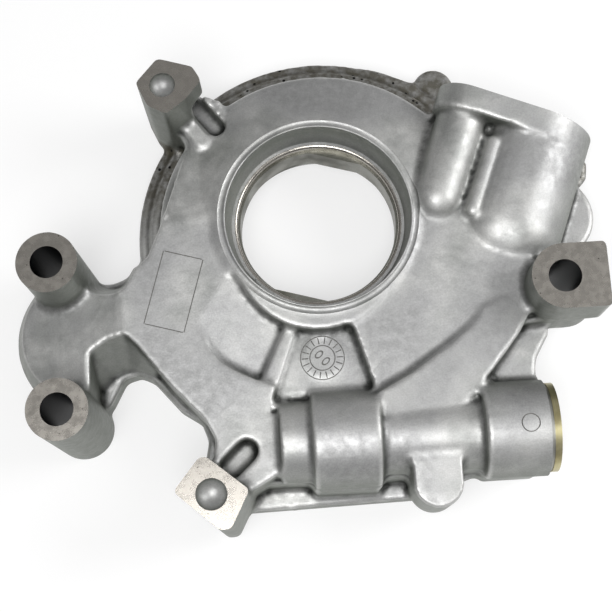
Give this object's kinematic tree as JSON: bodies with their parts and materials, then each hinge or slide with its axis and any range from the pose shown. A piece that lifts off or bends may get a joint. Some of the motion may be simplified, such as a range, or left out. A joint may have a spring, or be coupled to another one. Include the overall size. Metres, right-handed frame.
{
  "type": "engine oil pump",
  "caption": "Crank-driven gerotor oil pump: die-cast aluminium housing, rotors, rear cover, spring-loaded relief valve, bolted inlet flange and mounting bosses.",
  "frame": {"origin": "crank axis at the rear mounting plane", "axes": "+Z out of the front along the crank axis, +X along the relief-valve bore to its plug, +Y towards the inlet flange"},
  "size_m": [0.1711, 0.1409, 0.042],
  "materials": {
    "cast_aluminium": "die-cast, lightly blasted; machined boss faces",
    "cover_plate": "cast and face-milled",
    "sintered_steel": "sintered, ground ends, oiled",
    "hardened_steel": "hardened and ground",
    "spring_steel": "drawn wire, oiled",
    "screw_steel": "phosphated",
    "brass_plug": "turned",
    "soft_washer": "soft aluminium, turned"
  },
  "bodies": {
    "body": {"pump_housing": "cast_aluminium", "rear_cover": "cover_plate", "cover_screw_1": "screw_steel", "cover_screw_2": "screw_steel", "cover_screw_3": "screw_steel", "cover_screw_4": "screw_steel", "cover_screw_5": "screw_steel", "cover_screw_6": "screw_steel", "cover_screw_7": "screw_steel", "cover_screw_8": "screw_steel", "cover_screw_9": "screw_steel", "cover_screw_10": "screw_steel", "dowel_pin_1": "hardened_steel", "dowel_pin_2": "hardened_steel", "relief_plug": "brass_plug", "plug_seal": "soft_washer", "relief_spring": "spring_steel"},
    "inner_rotor": {"inner_rotor": "sintered_steel"},
    "outer_rotor": {"outer_rotor": "sintered_steel"},
    "relief_piston": {"relief_piston": "hardened_steel"}
  },
  "joints": [
    {"name": "inner_spin", "type": "hinge", "parent": "body", "child": "inner_rotor", "pos_m": [0, 0, 0], "axis": [0, 0, 1], "continuous": true},
    {"name": "outer_spin", "type": "hinge", "parent": "body", "child": "outer_rotor", "pos_m": [0, -0.0028, 0], "axis": [0, 0, 1], "continuous": true},
    {"name": "relief_slide", "type": "slide", "parent": "body", "child": "relief_piston", "axis": [1, 0, 0], "range_m": [0, 0.009], "stiffness_N_per_m": 3000, "springref_m": -0.015, "deforming": ["relief_spring"]}
  ],
  "couplings": [
    {"joint": "outer_spin", "follows": "inner_spin", "ratio": 0.90909}
  ]
}
